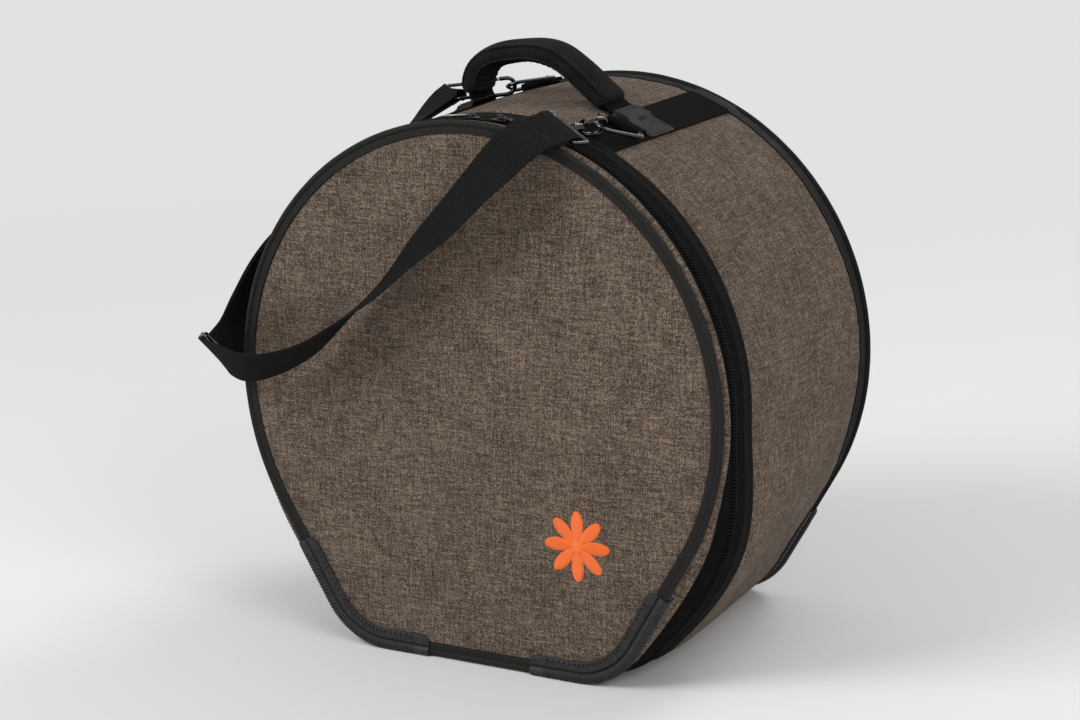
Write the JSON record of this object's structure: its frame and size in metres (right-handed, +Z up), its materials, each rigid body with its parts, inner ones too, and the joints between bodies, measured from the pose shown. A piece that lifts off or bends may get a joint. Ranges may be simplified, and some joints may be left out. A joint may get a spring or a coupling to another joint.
{
  "type": "drum bag",
  "caption": "Padded round drum bag with a flat base, zipped hinged lid, carry handle, rubber corner guards and a clip-on shoulder strap.",
  "frame": {"origin": "middle of the whole part's box, on the ground under the bag's corner guards", "axes": "+Z up; +X to the right when the lid is seen from the front; +Y from the lid to the rear panel"},
  "size_m": [0.4664, 0.3086, 0.4651],
  "materials": {
    "woven_cloth": "brown woven polyester pack cloth, coarse crosswise weave, matt",
    "padding": "foam padding between cloth and lining, out of sight",
    "lining": "thin black nylon lining",
    "piping": "black coated piping and binding, satin",
    "rubber": "black ribbed rubber corner guard, matt",
    "zip_tape": "black woven zip tape",
    "zip_teeth": "black nylon coil",
    "webbing": "black ribbed nylon webbing",
    "vinyl": "black grained coated patch, box stitched",
    "grip": "black padded handle cover",
    "black_metal": "black glossy plated metal",
    "thread": "orange satin stitch embroidery"
  },
  "bodies": {
    "bag": {"body_wall": "woven_cloth", "rear_panel": "woven_cloth", "rear_padding": "padding", "rear_lining": "lining", "body_padding": "padding", "body_lining": "lining", "rear_piping": "piping", "rear_tape": "piping", "rear_guard_left": "rubber", "rear_guard_right": "rubber", "hinge_strip": "woven_cloth", "zip_tape_body": "zip_tape", "zip_teeth_body": "zip_teeth", "zip_welt": "piping", "band_left": "webbing", "band_right": "webbing", "handle_patch_left": "vinyl", "handle_patch_right": "vinyl", "handle_foot_left": "webbing", "handle_foot_right": "webbing", "ring_tab_left": "webbing", "ring_tab_right": "webbing", "hook_eye_left": "black_metal", "hook_eye_right": "black_metal", "strap_front": "webbing", "strap_side": "webbing"},
    "lid": {"front_panel": "woven_cloth", "lid_padding": "padding", "lid_lining": "lining", "front_piping": "piping", "front_tape": "piping", "front_guard_left": "rubber", "front_guard_right": "rubber", "lid_rim": "woven_cloth", "zip_tape_lid": "zip_tape", "zip_teeth_lid": "zip_teeth", "front_rosette": "thread"},
    "slider_left": {"zip_slider_left": "black_metal"},
    "pull_left": {"zip_pull_left": "black_metal"},
    "slider_right": {"zip_slider_right": "black_metal"},
    "pull_right": {"zip_pull_right": "black_metal"},
    "handle": {"handle_grip": "grip", "handle_core": "webbing"},
    "ring_left": {"d_ring_left": "black_metal"},
    "hook_left": {"hook_left": "black_metal"},
    "gate_left": {"gate_left": "black_metal"},
    "ring_right": {"d_ring_right": "black_metal"},
    "hook_right": {"hook_right": "black_metal"},
    "gate_right": {"gate_right": "black_metal"},
    "strap_adjuster": {"strap_slide": "black_metal"}
  },
  "joints": [
    {"name": "lid_hinge", "type": "hinge", "parent": "bag", "child": "lid", "pos_m": [0.02321, -0.10616, 0.0036], "axis": [1, 0, 0], "range_deg": [0, 90], "deforming": ["strap_front"]},
    {"name": "slider_left_travel", "type": "hinge", "parent": "bag", "child": "slider_left", "pos_m": [0.02321, -0.08276, 0.2128], "axis": [0, 1, 0], "range_deg": [-82, 1]},
    {"name": "slider_right_travel", "type": "hinge", "parent": "bag", "child": "slider_right", "pos_m": [0.02321, -0.08276, 0.2128], "axis": [0, 1, 0], "range_deg": [-1, 82]},
    {"name": "pull_left_hinge", "type": "hinge", "parent": "slider_left", "child": "pull_left", "pos_m": [0.01369, -0.08276, 0.42253], "axis": [0, 1, 0], "range_deg": [0, 120]},
    {"name": "pull_right_hinge", "type": "hinge", "parent": "slider_right", "child": "pull_right", "pos_m": [0.03749, -0.08276, 0.42226], "axis": [0, -1, 0], "range_deg": [0, 120]},
    {"name": "handle_sway", "type": "hinge", "parent": "bag", "child": "handle", "pos_m": [0.02321, 0.02184, 0.41407], "axis": [1, 0, 0], "range_deg": [-20, 20], "stiffness_Nm_per_rad": 0.6, "deforming": ["handle_foot_left", "handle_foot_right"]},
    {"name": "ring_left_swing", "type": "hinge", "parent": "bag", "child": "ring_left", "pos_m": [-0.04752, 0.11804, 0.41255], "axis": [0.9426, 0, 0.3338], "range_deg": [-2, 2]},
    {"name": "ring_right_swing", "type": "hinge", "parent": "bag", "child": "ring_right", "pos_m": [0.10259, -0.01266, 0.40927], "axis": [0.9272, 0, -0.3746], "range_deg": [-2, 2]},
    {"name": "hook_left_swivel", "type": "hinge", "parent": "bag", "child": "hook_left", "pos_m": [-0.05431, 0.08355, 0.41529], "axis": [-0.7062, -0.7062, -0.0504], "range_deg": [-15, 15]},
    {"name": "hook_right_swivel", "type": "hinge", "parent": "bag", "child": "hook_right", "pos_m": [0.10248, -0.049, 0.41482], "axis": [-0.2507, -0.9628, 0.1003], "range_deg": [-15, 15]},
    {"name": "gate_left_hinge", "type": "hinge", "parent": "hook_left", "child": "gate_left", "pos_m": [-0.06603, 0.07123, 0.41891], "axis": [-0.7073, 0.7006, 0.0937], "range_deg": [0, 25], "stiffness_Nm_per_rad": 0.02, "springref_deg": -17.19},
    {"name": "gate_right_hinge", "type": "hinge", "parent": "hook_right", "child": "gate_right", "pos_m": [0.10021, -0.06526, 0.42057], "axis": [-0.8666, 0.2694, 0.4199], "range_deg": [0, 25], "stiffness_Nm_per_rad": 0.02, "springref_deg": -17.19},
    {"name": "adjuster_travel", "type": "slide", "parent": "bag", "child": "strap_adjuster", "axis": [-0.4462, 0.8727, -0.1983], "range_m": [-0.004, 0.004]}
  ]
}
